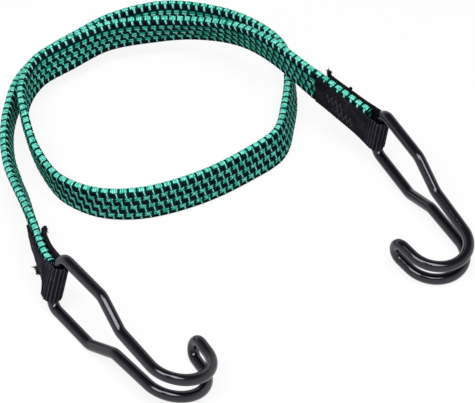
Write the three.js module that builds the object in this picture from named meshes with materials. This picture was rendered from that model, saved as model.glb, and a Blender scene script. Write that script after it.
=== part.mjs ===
// A flat bungee cord lying on its edge: an elastic band in a woven jacket, with a webbing tab
// and a vinyl-coated wire hook at each end. Millimetres, degrees, +Z up, floor at z = 0.
import * as THREE from 'three';

// Gap left between pieces that touch
const clearance = 0.3;

// Elastic band
const bandWidth = 18;
const bandThickness = 3.6;
const bandEdgeRadius = 1.2;
const bandEdgeSegments = 2;
const jacketWall = 0.6;
const strandCount = 5;
const strandGap = 0.4;
const strandPlay = 0.35;
const bandSteps = 66;

// Hook wire and its coating
const wireRadius = 1.75;
const coatingPlay = 0.25;
const coatingWall = 0.5;
const wireSides = 6;
const coatingSides = 8;
const wireEndGap = 1;

// Webbing tab
const webbingWidth = 18;
const webbingThickness = 1.2;
const tailPlay = 0.4;
const tailEase = 12;
const tailSegments = 5;
const foldSegments = 10;
const webbingRows = 5;

// Hook outline: a window round the tab, a taper, a narrow shank and a J
const windowPlay = 1.5;
const windowLength = 29;
const taperLength = 15.3;
const neckSpacing = 11.6;
const shankLength = 21.8;
const jawSpacing = 9;
const jawRadius = 14;
const jawTurn = 171;
const tipLength = 5.5;
const cornerRadius = 5;
const bendRadius = 8;
const cornerSteps = 4;
const bendSteps = 3;
const jawSteps = 12;
const tipTurnSteps = 3;

// Zig-zag tacks through each tab
const threadRadius = 0.22;
const threadSides = 4;
const tackLength = 10;
const tackHeight = 4.5;
const tackWaves = 4;
const pointsPerWave = 4;
const tacks = [
  { name: 'upper', fromBar: 23.5, across: 2 },
  { name: 'lower', fromBar: 17, across: -3 },
];

// The band's two ends. The route leaves the right hook's bar and arrives at the left one's. heading and slope
// give its travel there, lean tips the bar's upper end to the right of that travel, and twist is what the band's
// own lean gains between the bar and the end of the straight stretch, just past the tab's near tail. outward
// says whether the hook lies ahead of the travel, swing turns the hook about its bar and curl is the side its
// J bends to.
const ends = {
  right: {
    bar: [58, 62.2, 20.3],
    heading: 138.6,
    slope: 9.3,
    lean: -2.6,
    twist: -3,
    outward: -1,
    bandToBar: 6,
    nearTail: 34.5,
    farTail: 33.5,
    swing: -17.3,
    curl: -1,
  },
  left: {
    bar: [-81.6, -27.3, 15.7],
    heading: -71,
    slope: 4,
    lean: -15,
    twist: 26,
    outward: 1,
    bandToBar: 3.8,
    nearTail: 30.5,
    farTail: 28,
    swing: 19.4,
    curl: 1,
  },
};

// The band's lay between its straight ends: x, y, height of the lower edge above the floor, lean
const lay = [
  [9.1, 111.4, 18.2, -14],
  [-6.4, 126.4, 15, -22],
  [-26.2, 135.1, 11.3, -22],
  [-45.9, 136.1, 9.4, -13],
  [-66.7, 133.3, 7.5, -5],
  [-83.4, 122.3, 6.6, 6],
  [-98.1, 109, 6.2, 7],
  [-103.8, 89.8, 6, 4],
  [-100.4, 70.7, 5, 6],
  [-93.8, 52, 2.5, 10],
  [-83.1, 36.4, 0, 10],
  [-66.9, 27.3, 0, 5],
  [-47.6, 26.9, 0, 0],
  [-22.5, 36.5, 0, -4],
  [-0.6, 51.9, 0, -7],
  [13.3, 66, 0, -10],
  [17.7, 85.5, 0, -11],
  [19.3, 105.7, 0, -11],
  [16.7, 127.1, 0, -7],
  [4.9, 142.3, 0, -5],
  [-13.3, 153.4, 0, -4],
  [-39.6, 158, 0, -2],
  [-64.5, 149.2, 0, 0],
  [-81.9, 135, 0, 0],
  [-96.8, 120.2, 0, 0],
  [-106.7, 102.8, 0, 0],
  [-110, 83.8, 0, 1],
  [-109.4, 63.9, 0, 9],
  [-106, 47.9, 0, 18],
  [-101.8, 34.2, 1.2, 20],
];
const straightPastTail = 1;
const straightLead = 4;

// Sizes that follow from the ones above
const boreWidth = bandWidth - 2 * jacketWall;
const boreThickness = bandThickness - 2 * jacketWall;
const strandPitch = (boreWidth - 2 * strandPlay + strandGap) / strandCount;
const coatingBore = wireRadius + coatingPlay;
const coatingRadius = coatingBore + coatingWall;
const barSpan = webbingWidth + 2 * windowPlay + 2 * coatingRadius;
const tailInner = bandThickness / 2 + tailPlay;
const tailOuter = tailInner + webbingThickness;
const foldInner = coatingRadius + clearance;
const foldOuter = foldInner + webbingThickness;

const jacketMaterial = new THREE.MeshStandardMaterial({ color: 0x2f9c7c, roughness: 0.7 });
const rubberMaterial = new THREE.MeshStandardMaterial({ color: 0xb9a888, roughness: 0.85 });
const steelMaterial = new THREE.MeshStandardMaterial({ color: 0xb4b6b8, roughness: 0.35, metalness: 1 });
const vinylMaterial = new THREE.MeshStandardMaterial({ color: 0x232226, roughness: 0.3 });
const webbingMaterial = new THREE.MeshStandardMaterial({ color: 0x1c1b20, roughness: 0.9 });
const threadMaterial = new THREE.MeshStandardMaterial({ color: 0x2c2a30, roughness: 0.8 });

const part = new THREE.Group();

function addMesh(parent, name, geometry, material) {
  const mesh = new THREE.Mesh(geometry, material);
  mesh.name = name;
  parent.add(mesh);
  return mesh;
}

// A path given by its stations, each with the direction that the section's x axis takes there
class StationPath extends THREE.Curve {
  constructor(points, sectionX) {
    super();
    this.points = points;
    this.sectionX = sectionX;
  }

  getPoint(t) {
    return this.points[Math.round(t * (this.points.length - 1))].clone();
  }

  getSpacedPoints() {
    return this.points;
  }

  computeFrenetFrames() {
    const last = this.points.length - 1;
    const frames = { tangents: [], normals: [], binormals: [] };
    this.points.forEach((point, i) => {
      const before = this.points[Math.max(i - 1, 0)];
      const after = this.points[Math.min(i + 1, last)];
      const tangent = after.clone().sub(before).normalize();
      const normal = this.sectionX[i].clone();
      normal.addScaledVector(tangent, -normal.dot(tangent)).normalize();
      frames.tangents.push(tangent);
      frames.normals.push(normal);
      frames.binormals.push(tangent.clone().cross(normal));
    });
    return frames;
  }
}

function sweep(section, points, sectionX) {
  const extrudePath = new StationPath(points, sectionX);
  return new THREE.ExtrudeGeometry(section, { steps: points.length - 1, extrudePath });
}

function regularPolygon(radius, sides) {
  const corners = [];
  for (let i = 0; i < sides; i += 1) {
    const angle = ((i + 0.5) / sides) * 2 * Math.PI;
    corners.push(new THREE.Vector2(radius * Math.cos(angle), radius * Math.sin(angle)));
  }
  return corners;
}

function rectangle(width, height, middleY = 0) {
  const x = width / 2;
  const y = height / 2;
  return [[x, -y], [x, y], [-x, y], [-x, -y]].map(([px, py]) => new THREE.Vector2(px, py + middleY));
}

// Where a face of the band is split across its width: opposite the gaps between the strands
function faceSplits() {
  const splits = [];
  for (let i = 1; i < strandCount; i += 1) {
    splits.push((i - strandCount / 2) * strandPitch);
  }
  return splits;
}

// The jacket's outside: a rectangle with rounded corners and split faces
function jacketOutside() {
  const corners = [];
  for (let quadrant = 0; quadrant < 4; quadrant += 1) {
    const signX = quadrant === 0 || quadrant === 3 ? 1 : -1;
    const signY = quadrant < 2 ? 1 : -1;
    for (let i = 0; i <= bandEdgeSegments; i += 1) {
      const angle = (quadrant + i / bandEdgeSegments) * (Math.PI / 2);
      const x = signX * (bandThickness / 2 - bandEdgeRadius) + bandEdgeRadius * Math.cos(angle);
      const y = signY * (bandWidth / 2 - bandEdgeRadius) + bandEdgeRadius * Math.sin(angle);
      corners.push(new THREE.Vector2(x, y));
    }
    if (quadrant % 2 === 1) {
      corners.push(...faceSplits().map((y) => new THREE.Vector2((signX * bandThickness) / 2, signX * y)));
    }
  }
  return corners;
}

function jacketBore() {
  const face = [-boreWidth / 2, ...faceSplits(), boreWidth / 2];
  const right = face.map((y) => new THREE.Vector2(boreThickness / 2, y));
  const left = face.map((y) => new THREE.Vector2(-boreThickness / 2, y));
  return [...right, ...left.reverse()];
}

// The band's section directions: across runs from its lower edge to its upper one, face is square to its face
function bandAxes(tangent, leanDegrees) {
  const lean = THREE.MathUtils.degToRad(leanDegrees);
  const side = new THREE.Vector3(tangent.y, -tangent.x, 0).normalize();
  const upright = side.clone().cross(tangent);
  const across = side.multiplyScalar(Math.sin(lean)).addScaledVector(upright, Math.cos(lean));
  return { across, face: across.clone().cross(tangent) };
}

function straightLength(end) {
  return end.nearTail + straightPastTail;
}

function travelAt(end) {
  const heading = THREE.MathUtils.degToRad(end.heading);
  const slope = THREE.MathUtils.degToRad(end.slope);
  return new THREE.Vector3(
    Math.cos(slope) * Math.cos(heading),
    Math.cos(slope) * Math.sin(heading),
    Math.sin(slope),
  );
}

const jacketOutline = jacketOutside();

// How far the leaning section reaches below its middle
function reachBelow(leanDegrees) {
  const lean = THREE.MathUtils.degToRad(Math.abs(leanDegrees));
  return Math.max(...jacketOutline.map((p) => p.y * Math.cos(lean) + p.x * Math.sin(lean)));
}

// Stations of the whole band, evenly spaced along its length
function bandStations() {
  const endRows = (end) => {
    const length = straightLength(end);
    return [end.bandToBar, (end.bandToBar + length) / 2, length, length + straightLead].map((fromBar) => {
      const place = new THREE.Vector3(...end.bar).addScaledVector(travelAt(end), -end.outward * fromBar);
      return { place, lean: end.lean + (end.twist * fromBar) / length };
    });
  };
  const layRows = lay.map(([x, y, lift, lean]) => (
    { place: new THREE.Vector3(x, y, lift + reachBelow(lean)), lean }
  ));
  const rows = [...endRows(ends.right), ...layRows, ...endRows(ends.left).reverse()];
  const route = new THREE.CatmullRomCurve3(rows.map((row) => row.place));
  const leans = new THREE.CatmullRomCurve3(
    rows.map((row, i) => new THREE.Vector3(i, row.lean, 0)), false, 'catmullrom',
  );
  route.arcLengthDivisions = 40 * rows.length;
  const points = [];
  const faces = [];
  for (let i = 0; i <= bandSteps; i += 1) {
    const t = route.getUtoTmapping(i / bandSteps);
    const point = route.getPoint(t);
    const lean = leans.getPoint(t).y;
    point.z = Math.max(point.z, reachBelow(lean));
    points.push(point);
    faces.push(bandAxes(route.getTangent(t), lean).face);
  }
  return { points, faces };
}

function addBand() {
  const { points, faces } = bandStations();
  const jacket = new THREE.Shape(jacketOutline);
  jacket.holes.push(new THREE.Path(jacketBore()));
  addMesh(part, 'band_jacket', sweep(jacket, points, faces), jacketMaterial);
  for (let i = 0; i < strandCount; i += 1) {
    const across = (i - (strandCount - 1) / 2) * strandPitch;
    const outline = rectangle(boreThickness - 2 * strandPlay, strandPitch - strandGap, across);
    addMesh(part, `rubber_strand_${i + 1}`, sweep(new THREE.Shape(outline), points, faces), rubberMaterial);
  }
}

// Rounds the corner between two straight stretches
function roundedCorner(before, corner, after, radius, steps) {
  const arriving = corner.clone().sub(before).normalize();
  const leaving = after.clone().sub(corner).normalize();
  const turn = arriving.angleTo(leaving);
  const setback = radius * Math.tan(turn / 2);
  const start = corner.clone().addScaledVector(arriving, -setback);
  const inward = leaving.clone().addScaledVector(arriving, -leaving.dot(arriving)).normalize();
  const points = [];
  for (let i = 0; i <= steps; i += 1) {
    const angle = (turn * i) / steps;
    const point = start.clone().addScaledVector(arriving, radius * Math.sin(angle));
    points.push(point.addScaledVector(inward, radius * (1 - Math.cos(angle))));
  }
  return points;
}

// Centreline of one hook. The bar lies on z through the origin, the shank runs along x and the J bends towards y.
function hookStations(curl) {
  const jawStart = windowLength + taperLength + shankLength;
  const turnRadius = jawSpacing / 2;
  const upper = [];
  const add = (point, x, y) => upper.push({ point, face: new THREE.Vector3(x, y, 0) });
  const corners = [
    new THREE.Vector3(0, 0, wireEndGap / 2),
    new THREE.Vector3(0, 0, barSpan / 2),
    new THREE.Vector3(windowLength, 0, barSpan / 2),
    new THREE.Vector3(windowLength + taperLength, 0, neckSpacing / 2),
    new THREE.Vector3(jawStart, 0, turnRadius),
  ];
  add(corners[0], 0, 1);
  for (let i = 1; i < corners.length - 1; i += 1) {
    const radius = i === 1 ? cornerRadius : bendRadius;
    const steps = i === 1 ? cornerSteps : bendSteps;
    for (const point of roundedCorner(corners[i - 1], corners[i], corners[i + 1], radius, steps)) {
      add(point, 0, 1);
    }
  }
  const turn = THREE.MathUtils.degToRad(jawTurn);
  for (let i = 0; i <= jawSteps; i += 1) {
    const angle = (turn * i) / jawSteps;
    const x = jawStart + jawRadius * Math.sin(angle);
    const y = jawRadius * (1 - Math.cos(angle));
    add(new THREE.Vector3(x, y, turnRadius), -Math.sin(angle), Math.cos(angle));
  }
  const tipWay = new THREE.Vector3(Math.cos(turn), Math.sin(turn), 0);
  const jawEnd = new THREE.Vector3(jawStart + jawRadius * Math.sin(turn), jawRadius * (1 - Math.cos(turn)), 0);
  for (let i = 0; i < tipTurnSteps; i += 1) {
    const angle = (Math.PI / 2) * (i / tipTurnSteps);
    const point = jawEnd.clone().addScaledVector(tipWay, tipLength + turnRadius * Math.sin(angle));
    point.z = turnRadius * Math.cos(angle);
    add(point, -tipWay.y, tipWay.x);
  }
  const middle = {
    point: jawEnd.clone().addScaledVector(tipWay, tipLength + turnRadius),
    face: new THREE.Vector3(-tipWay.y, tipWay.x, 0),
  };
  const flipped = upper.map(({ point, face }) => (
    { point: new THREE.Vector3(point.x, point.y, -point.z), face: face.clone() }
  ));
  const stations = [...upper, middle, ...flipped.reverse()];
  for (const { point, face } of stations) {
    point.y *= curl;
    face.y *= curl;
  }
  return { points: stations.map((s) => s.point), faces: stations.map((s) => s.face) };
}

function addHook(parent, side, curl) {
  const { points, faces } = hookStations(curl);
  const wire = new THREE.Shape(regularPolygon(wireRadius, wireSides));
  const coating = new THREE.Shape(regularPolygon(coatingRadius, coatingSides));
  coating.holes.push(new THREE.Path(regularPolygon(coatingBore, wireSides)));
  addMesh(parent, `${side}_hook_wire`, sweep(wire, points, faces), steelMaterial);
  addMesh(parent, `${side}_hook_coating`, sweep(coating, points, faces), vinylMaterial);
}

// Twists a tab's piece about its middle line as the band between its tails is twisted
function twistWithBand(geometry, end) {
  const middleLine = new THREE.Vector3(1, 0, 0);
  const places = geometry.attributes.position;
  const place = new THREE.Vector3();
  for (let i = 0; i < places.count; i += 1) {
    place.fromBufferAttribute(places, i);
    const gained = (end.twist * Math.max(-place.x, 0)) / straightLength(end);
    place.applyAxisAngle(middleLine, end.outward * THREE.MathUtils.degToRad(gained));
    places.setXYZ(i, place.x, place.y, place.z);
  }
  return geometry;
}

// One strip of webbing, seen along the bar: in along the near tail, round the bar and out along the far one
function addTab(parent, side) {
  const end = ends[side];
  const outside = [];
  const inside = [];
  const add = (x, outer, inner) => {
    outside.push(new THREE.Vector2(x, outer));
    inside.unshift(new THREE.Vector2(x, inner));
  };
  for (let i = 0; i <= tailSegments; i += 1) {
    add(THREE.MathUtils.lerp(-end.nearTail, -tailEase, i / tailSegments), -tailOuter, -tailInner);
  }
  for (let i = 0; i <= foldSegments; i += 1) {
    const angle = Math.PI * (i / foldSegments - 0.5);
    outside.push(new THREE.Vector2(foldOuter * Math.cos(angle), foldOuter * Math.sin(angle)));
    inside.unshift(new THREE.Vector2(foldInner * Math.cos(angle), foldInner * Math.sin(angle)));
  }
  for (let i = 0; i <= tailSegments; i += 1) {
    add(THREE.MathUtils.lerp(-tailEase, -end.farTail, i / tailSegments), tailOuter, tailInner);
  }
  const outline = new THREE.Shape([...outside, ...inside]);
  const settings = { depth: webbingWidth, steps: webbingRows, bevelEnabled: false };
  const geometry = new THREE.ExtrudeGeometry(outline, settings);
  geometry.translate(0, 0, -webbingWidth / 2);
  addMesh(parent, `${side}_webbing_tab`, twistWithBand(geometry, end), webbingMaterial);
}

// One thread of a tack, lying on the outside of a tail: face is -1 on the near one and 1 on the far one
function addThread(parent, name, tack, face, end) {
  const points = [];
  const sectionX = [];
  const count = tackWaves * pointsPerWave;
  const height = tailOuter + clearance + threadRadius;
  for (let i = 0; i <= count; i += 1) {
    const along = -tack.fromBar + tackLength * (i / count - 0.5);
    const across = tack.across + (tackHeight / 2) * Math.sin((2 * Math.PI * i) / pointsPerWave);
    points.push(new THREE.Vector3(along, face * height, across));
    sectionX.push(new THREE.Vector3(0, face, 0));
  }
  const outline = new THREE.Shape(regularPolygon(threadRadius, threadSides));
  addMesh(parent, name, twistWithBand(sweep(outline, points, sectionX), end), threadMaterial);
}

function addEnd(side) {
  const end = ends[side];
  const travel = travelAt(end);
  const { across } = bandAxes(travel, end.lean);
  const ahead = travel.clone().multiplyScalar(end.outward);
  const tab = new THREE.Group();
  tab.position.set(...end.bar);
  tab.quaternion.setFromRotationMatrix(
    new THREE.Matrix4().makeBasis(ahead, across.clone().cross(ahead), across),
  );
  part.add(tab);
  addTab(tab, side);
  for (const tack of tacks) {
    addThread(tab, `${side}_${tack.name}_tack_needle_thread`, tack, -1, end);
    addThread(tab, `${side}_${tack.name}_tack_bobbin_thread`, tack, 1, end);
  }
  const hook = new THREE.Group();
  hook.rotation.z = THREE.MathUtils.degToRad(end.swing);
  tab.add(hook);
  addHook(hook, side, end.curl);
}

addBand();
addEnd('right');
addEnd('left');

export default part;
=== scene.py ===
import bpy
import numpy as np
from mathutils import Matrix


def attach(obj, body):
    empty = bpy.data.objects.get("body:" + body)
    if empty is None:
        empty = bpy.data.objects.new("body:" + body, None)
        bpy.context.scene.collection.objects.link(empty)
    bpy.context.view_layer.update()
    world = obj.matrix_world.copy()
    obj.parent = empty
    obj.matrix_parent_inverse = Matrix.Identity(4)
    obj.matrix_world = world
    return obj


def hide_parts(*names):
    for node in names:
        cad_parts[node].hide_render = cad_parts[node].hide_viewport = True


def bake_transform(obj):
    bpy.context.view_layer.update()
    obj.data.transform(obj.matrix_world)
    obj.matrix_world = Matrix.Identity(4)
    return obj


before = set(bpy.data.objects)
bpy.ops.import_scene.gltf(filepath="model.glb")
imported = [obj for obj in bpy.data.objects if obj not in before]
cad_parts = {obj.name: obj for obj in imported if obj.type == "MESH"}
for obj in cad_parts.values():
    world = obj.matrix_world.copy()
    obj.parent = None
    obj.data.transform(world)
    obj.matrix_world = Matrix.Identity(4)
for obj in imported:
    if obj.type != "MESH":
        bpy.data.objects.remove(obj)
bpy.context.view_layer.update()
scene = bpy.context.scene
scene.view_settings.view_transform = "Standard"
print("frame loaded:", len(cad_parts), "nodes")


# Camera

photo = {
    "target": (-0.0054, 0.0373, 0.0),  # the spot on the floor in the middle of the picture
    "elevation": 43.5,
    "distance": 1.0,
    "lens": 169.77,
    "sensor": 36.0,
}


# Stands off the target by the distance, at the elevation and straight in front
def addCamera(look):
    data = bpy.data.cameras.new("camera")
    data.lens = look["lens"]
    data.sensor_width = look["sensor"]
    camera = bpy.data.objects.new("camera", data)
    tilt = np.radians(look["elevation"])
    x, y, z = look["target"]
    camera.location = (x, y - look["distance"] * np.cos(tilt), z + look["distance"] * np.sin(tilt))
    camera.rotation_euler = (np.pi / 2 - tilt, 0, 0)
    scene.collection.objects.link(camera)
    scene.camera = camera


addCamera(photo)
print("camera placed")


# Shader maths

class Feed:
    # a node's output that takes part in Python sums: each operator adds one Math node
    def __init__(self, tree, socket):
        self.tree = tree
        self.socket = socket

    # any other node: its type, the values or links of its sockets, then its settings
    def make(self, kind, sockets, output=0, **settings):
        node = self.tree.nodes.new("ShaderNode" + kind)
        for key, value in settings.items():
            setattr(node, key, value)
        for key, value in sockets.items():
            if isinstance(value, Feed):
                self.tree.links.new(value.socket, node.inputs[key])
            else:
                node.inputs[key].default_value = value
        return Feed(self.tree, node.outputs[output])

    def other(self, output):
        return Feed(self.tree, self.socket.node.outputs[output])

    def sum(self, operation, *terms):
        return self.make("Math", dict(enumerate(terms)), operation=operation)

    def __add__(self, term):
        return self.sum("ADD", self, term)

    __radd__ = __add__

    def __sub__(self, term):
        return self.sum("SUBTRACT", self, term)

    def __rsub__(self, term):
        return self.sum("SUBTRACT", term, self)

    def __mul__(self, term):
        return self.sum("MULTIPLY", self, term)

    __rmul__ = __mul__

    def __gt__(self, term):
        return self.sum("GREATER_THAN", self, term)

    def __lt__(self, term):
        return self.sum("LESS_THAN", self, term)

    def __abs__(self):
        return self.sum("ABSOLUTE", self)

    def floor(self):
        return self.sum("FLOOR", self)

    def fract(self):
        return self.sum("FRACT", self)

    def sine(self):
        return self.sum("SINE", self)

    # 0 below low, 1 above high and an s-curve between
    def soft(self, low, high):
        sockets = {"Value": self, "From Min": low, "From Max": high}
        return self.make("MapRange", sockets, interpolation_type="SMOOTHSTEP")

    # 0 below nothing, 1 above it and an s-curve between, as wide as the blur to each side
    def edge(self, blur):
        return self.soft(-blur, blur)

    # distance from the nearest whole number
    def fromWhole(self):
        return abs((self + 0.5).fract() - 0.5)


def mixColours(share, low, high):
    return share.make("Mix", {0: share, 6: low, 7: high}, output=2, data_type="RGBA")


# sRGB numbers out of 255 as the linear colour that a socket takes
def paint(red, green, blue):
    part = np.array([red, green, blue]) / 255
    linear = np.where(part <= 0.04045, part / 12.92, ((part + 0.055) / 1.055) ** 2.4)
    return (*linear.tolist(), 1.0)


# A mix of two shades in sRGB numbers
def mixShades(share, shades):
    return mixColours(share, *(paint(*shade) for shade in shades))


# A material with one Principled shader: settled sockets are numbers, the rest come from the pattern
def newFinish(name, **settled):
    material = bpy.data.materials.new(name)
    material.use_nodes = True
    shader = material.node_tree.nodes["Principled BSDF"]
    for key, value in settled.items():
        shader.inputs[key.replace("_", " ")].default_value = value
    start = Feed(material.node_tree, shader.outputs[0])

    def wear(socket, feed):
        material.node_tree.links.new(feed.socket, shader.inputs[socket])

    return material, start, wear


def bumpFrom(height, strength, distance):
    sockets = {"Strength": strength, "Distance": distance, "Height": height}
    return height.make("Bump", sockets)


def noiseAt(start, vector, scale, detail=2.0):
    return start.make("TexNoise", {"Vector": vector, "Scale": scale, "Detail": detail})


# Two shades mixed by a fine noise, which also gives the roughness and any bump
def grainFinish(name, scale, detail, shades, rough, bump=None, softened=None, **settled):
    finish, start, wear = newFinish(name, **settled)
    grain = noiseAt(start, start.make("TexCoord", {}, output="Object"), scale, detail)
    share = grain.soft(*softened) if softened else grain
    wear("Base Color", mixShades(share, shades))
    wear("Roughness", grain * rough[0] + rough[1])
    if bump:
        wear("Normal", bumpFrom(grain, *bump))
    return finish


# Meshes

# One piece from points, quads and triangles: flatFaces are shaded flat, and maps hold two numbers for each
# corner
def addPiece(name, points, quads, material, triangles=None, maps=None, flatFaces=None):
    triangles = np.zeros((0, 3), int) if triangles is None else triangles
    corners = np.concatenate([quads.ravel(), triangles.ravel()])
    starts = np.concatenate([np.arange(len(quads)) * 4, quads.size + np.arange(len(triangles)) * 3])
    mesh = bpy.data.meshes.new(name)
    mesh.vertices.add(len(points))
    mesh.vertices.foreach_set("co", points.astype(np.float32).ravel())
    mesh.loops.add(len(corners))
    mesh.loops.foreach_set("vertex_index", corners.astype(np.int32))
    mesh.polygons.add(len(starts))
    mesh.polygons.foreach_set("loop_start", starts.astype(np.int32))
    smooth = np.ones(len(starts), bool)
    if flatFaces is not None:
        smooth[flatFaces] = False
    mesh.polygons.foreach_set("use_smooth", smooth)
    for mapName, places in (maps or {}).items():
        mesh.uv_layers.new(name=mapName).uv.foreach_set("vector", places.astype(np.float32).ravel())
    mesh.update(calc_edges=True)
    mesh.validate()
    mesh.materials.append(material)
    piece = bpy.data.objects.new(name, mesh)
    scene.collection.objects.link(piece)
    return piece


# Quads of a tube: ring i, side j to the next side and the next ring, the rings' points numbered in turn
def tubeQuads(rings, sides, first=0, inside=False):
    i, j = np.meshgrid(np.arange(rings - 1), np.arange(sides), indexing="ij")
    here = first + i * sides
    ahead = here + sides
    after = (j + 1) % sides
    quads = np.stack([here + j, here + after, ahead + after, ahead + j], -1).reshape(-1, 4)
    return quads[:, ::-1] if inside else quads


# Quads between two rings that face along the tube: outerRing and innerRing are their first points
def rimQuads(outerRing, innerRing, sides, backwards):
    j = np.arange(sides)
    after = (j + 1) % sides
    quads = np.stack([outerRing + j, outerRing + after, innerRing + after, innerRing + j], -1)
    return quads[:, ::-1] if backwards else quads


# Triangles from one ring to a point
def fanTriangles(ring, sides, tip, backwards):
    j = np.arange(sides)
    after = (j + 1) % sides
    fan = np.stack([ring + j, ring + after, np.full(sides, tip)], -1)
    return fan[:, ::-1] if backwards else fan


# Each vector over its own length
def unit(vectors):
    return vectors / np.linalg.norm(vectors, axis=-1, keepdims=True)


# The part of each vector that is square to its line, over its length
def squareTo(along, vectors):
    return unit(vectors - along * (vectors * along).sum(1, keepdims=True))


# An s-curve from 0 to 1: 3x^2 - 2x^3
def eased(x):
    x = np.clip(x, 0, 1)
    return x * x * (3 - 2 * x)


# Spokes round each place: the cosine of the turn along one axis and its sine along the other
def spokesRound(axisX, axisY, sides):
    turn = (np.arange(sides) / sides * 2 * np.pi)[:, None]
    return np.cos(turn) * axisX[:, None] + np.sin(turn) * axisY[:, None]


# A solid tube from its rings of points, with a fan of triangles to the middle of each end
def solidTube(rings):
    count, sides = rings.shape[:2]
    tips = count * sides
    points = np.vstack([rings.reshape(-1, 3), rings[:1].mean(1), rings[-1:].mean(1)])
    triangles = np.vstack([
        fanTriangles(0, sides, tips, True),
        fanTriangles(tips - sides, sides, tips + 1, False),
    ])
    return points, tubeQuads(count, sides), triangles


# A hollow tube from the rings of its outside and its bore, and the numbers of its two flat rims' faces
def hollowTube(outside, bore):
    sides = outside.shape[1]
    points = np.vstack([outside.reshape(-1, 3), bore.reshape(-1, 3)])
    boreFirst = len(outside) * sides
    quads = np.vstack([
        tubeQuads(len(outside), sides),
        tubeQuads(len(bore), sides, boreFirst, inside=True),
        rimQuads(0, boreFirst, sides, True),
        rimQuads(boreFirst - sides, len(points) - sides, sides, False),
    ])
    return points, quads, np.arange(len(quads) - 2 * sides, len(quads))


# Map numbers for the corners of a tube's quads: u from ring to ring and v from side to side
def cornerMap(uHere, uNext, vHere, vNext):
    uHere, uNext, vHere, vNext = np.broadcast_arrays(uHere, uNext, vHere, vNext)
    pairs = [(uHere, vHere), (uHere, vNext), (uNext, vNext), (uNext, vHere)]
    return np.stack([np.stack(pair, -1) for pair in pairs], -2).reshape(-1, 4, 2)


bakeMargin = 0.01  # of the baked picture, at each side


# A share from 0 to 1, brought within the margins of the baked picture
def inMargins(share):
    return share * (1 - 2 * bakeMargin) + bakeMargin


# The elastic band's route, in metres

bandEnds = {
    "right": {
        "bar": (0.0580, 0.0622, 0.0203),
        "heading": 138.6,
        "slope": 9.3,
        "lean": -2.6,
        "twist": -3.0,
        "outward": -1,
        "bandToBar": 0.0060,
        "bow": (0.0, 0.0),  # the band's own offset at the bar, square to the webbing and along the bar
        "nearTail": 0.0345,
        "farTail": 0.0335,
        "swing": -17.3,
        "curl": -1,
    },
    "left": {
        "bar": (-0.0816, -0.0273, 0.0157),
        "heading": -71.0,
        "slope": 4.0,
        "lean": -15.0,
        "twist": 20.0,
        "outward": 1,
        "bandToBar": 0.0038,
        "bow": (-0.0012, -0.0010),
        "nearTail": 0.0305,
        "farTail": 0.0280,
        "swing": 19.4,
        "curl": 1,
    },
}
straightPastTail = 0.001
straightLead = 0.004
twistStart = 0.0025
twistReach = 0.0045
bowEase = 0.005  # past the bar, where a tab takes up the bow
bowReach = 0.050
knotSteps = 60  # fine steps for each knot of the route

# x, y, height of the lower edge above the floor, lean in degrees
bandLay = np.array([
    (0.0091, 0.1114, 0.0182, -14),
    (-0.0064, 0.1264, 0.0150, -22),
    (-0.0262, 0.1351, 0.0113, -22),
    (-0.0459, 0.1361, 0.0094, -13),
    (-0.0667, 0.1333, 0.0075, -5),
    (-0.0834, 0.1223, 0.0066, 6),
    (-0.0981, 0.1090, 0.0062, 7),
    (-0.1038, 0.0898, 0.0060, 4),
    (-0.1004, 0.0707, 0.0050, 6),
    (-0.0938, 0.0520, 0.0025, 10),
    (-0.0831, 0.0364, 0, 10),
    (-0.0669, 0.0273, 0, 5),
    (-0.0476, 0.0269, 0, 0),
    (-0.0225, 0.0365, 0, -4),
    (-0.0006, 0.0519, 0, -7),
    (0.0133, 0.0660, 0, -10),
    (0.0177, 0.0855, 0, -11),
    (0.0193, 0.1057, 0, -11),
    (0.0167, 0.1271, 0, -7),
    (0.0049, 0.1423, 0, -5),
    (-0.0133, 0.1534, 0, -4),
    (-0.0396, 0.1580, 0, -2),
    (-0.0645, 0.1492, 0, 0),
    (-0.0819, 0.1350, 0, 0),
    (-0.0968, 0.1202, 0, 0),
    (-0.1067, 0.1028, 0, 0),
    (-0.1100, 0.0838, 0, 1),
    (-0.1094, 0.0639, 0, 9),
    (-0.1060, 0.0479, 0, 18),
    (-0.1018, 0.0342, 0.0012, 20),
])

band = {
    "width": 0.0180,
    "thickness": 0.0036,
    "edgeRadius": 0.0012,
    "coverWidth": 0.0177,  # the cloth under the raised yarns
    "coverThickness": 0.0034,
    "coverEdge": 0.00145,
    "wall": 0.0006,
    "steps": 1500,  # of the cover, along the whole band
    "boreStride": 8,  # cover rings for each ring of the bore
    "endRun": 0.122,  # length of the stretching run at each end
}


# From the bar to the end of the straight stretch
def straightLength(end):
    return end["nearTail"] + straightPastTail


# Heading and slope as a unit vector
def travelOf(end):
    heading, slope = np.radians(end["heading"]), np.radians(end["slope"])
    return np.array([np.cos(slope) * np.cos(heading), np.cos(slope) * np.sin(heading), np.sin(slope)])


# Axes of an end's tab: ahead towards the hook, square to the webbing, and along the bar
def tabAxes(end):
    travel = travelOf(end)
    side = unit(np.array([travel[1], -travel[0], 0]))
    tilt = np.radians(end["lean"])
    bar = side * np.sin(tilt) + np.cross(side, travel) * np.cos(tilt)
    ahead = travel * end["outward"]
    return ahead, np.cross(bar, ahead), bar


# Share of an end's twist gained at a distance from the bar, most of it close to the fold: 1 - e^-x, brought
# to one at the end of the straight stretch
def twistShare(end, fromBar):
    length = straightLength(end) - twistStart
    reached = 1 - np.exp(-np.clip(fromBar - twistStart, 0, length) / twistReach)
    return reached / (1 - np.exp(-length / twistReach))


# Share of an end's bow that is left at a distance from the bar: a sine-eased fall from one to nothing
def bowLeft(fromBar):
    q = np.clip(fromBar / bowReach, 0, 1)
    return 1 - q + np.sin(2 * np.pi * q) / (2 * np.pi)


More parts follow.
